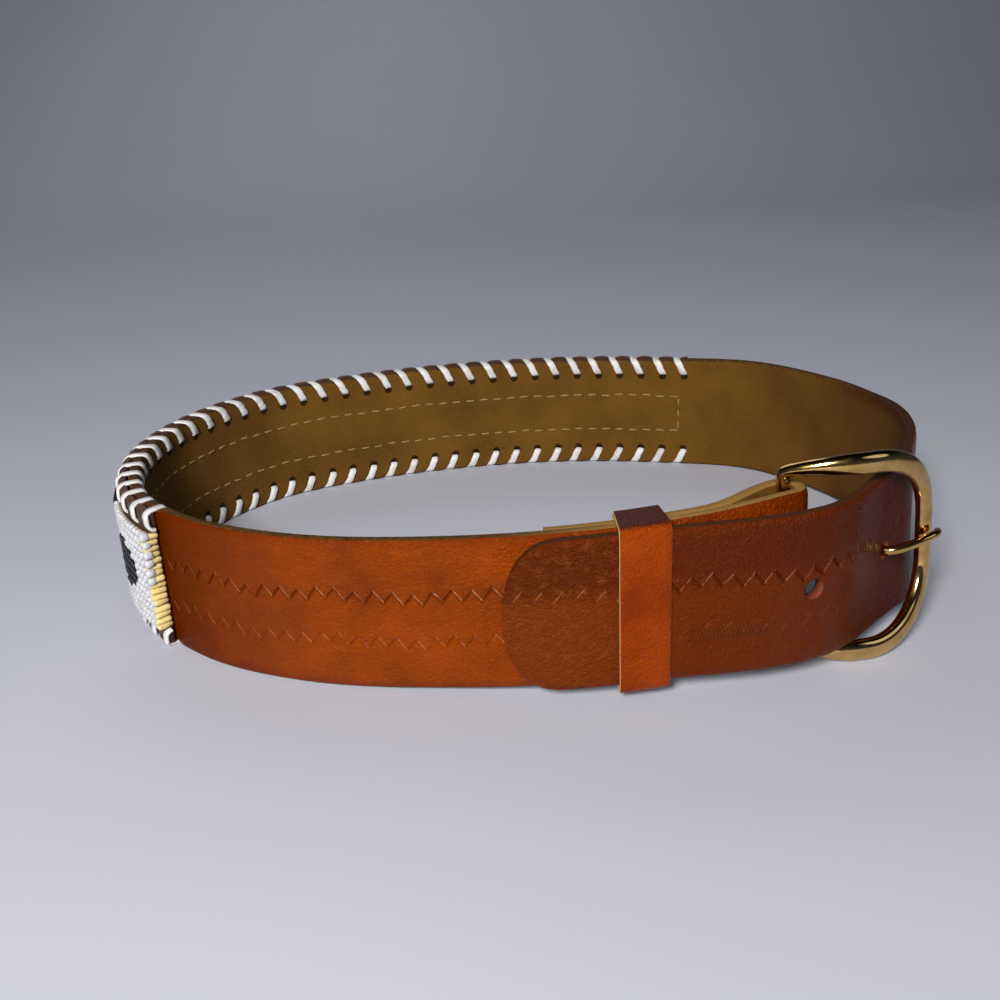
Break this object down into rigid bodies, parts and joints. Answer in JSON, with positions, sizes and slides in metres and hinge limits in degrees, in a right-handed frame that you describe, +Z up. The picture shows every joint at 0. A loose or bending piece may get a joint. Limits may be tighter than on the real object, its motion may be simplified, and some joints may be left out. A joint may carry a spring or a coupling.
{
  "type": "beaded belt",
  "caption": "Leather belt buckled into a loop and standing on edge, with a laced-on seed bead strip round its outside.",
  "frame": {"origin": "on the surface that the belt stands on, under the middle of its bounding box", "axes": "+X along the loop's long way, towards the buckle's side; -Y towards the side where the buckle is fastened; +Z up across the strap's width"},
  "size_m": [0.2212, 0.1698, 0.0521],
  "materials": {
    "strap_leather": "glossy orange-tan grain outside, golden-brown suede inside",
    "keeper_leather": "bright glossy orange",
    "buckle_metal": "polished gold tone",
    "backing_leather": "soft brown",
    "seed_beads": "white and black opaque seed beads"
  },
  "bodies": {
    "root": {"strap": "strap_leather", "keeper_loop": "keeper_leather", "buckle_frame": "buckle_metal", "buckle_prong": "buckle_metal", "bead_backing": "backing_leather", "bead_panel": "seed_beads"}
  },
  "joints": []
}
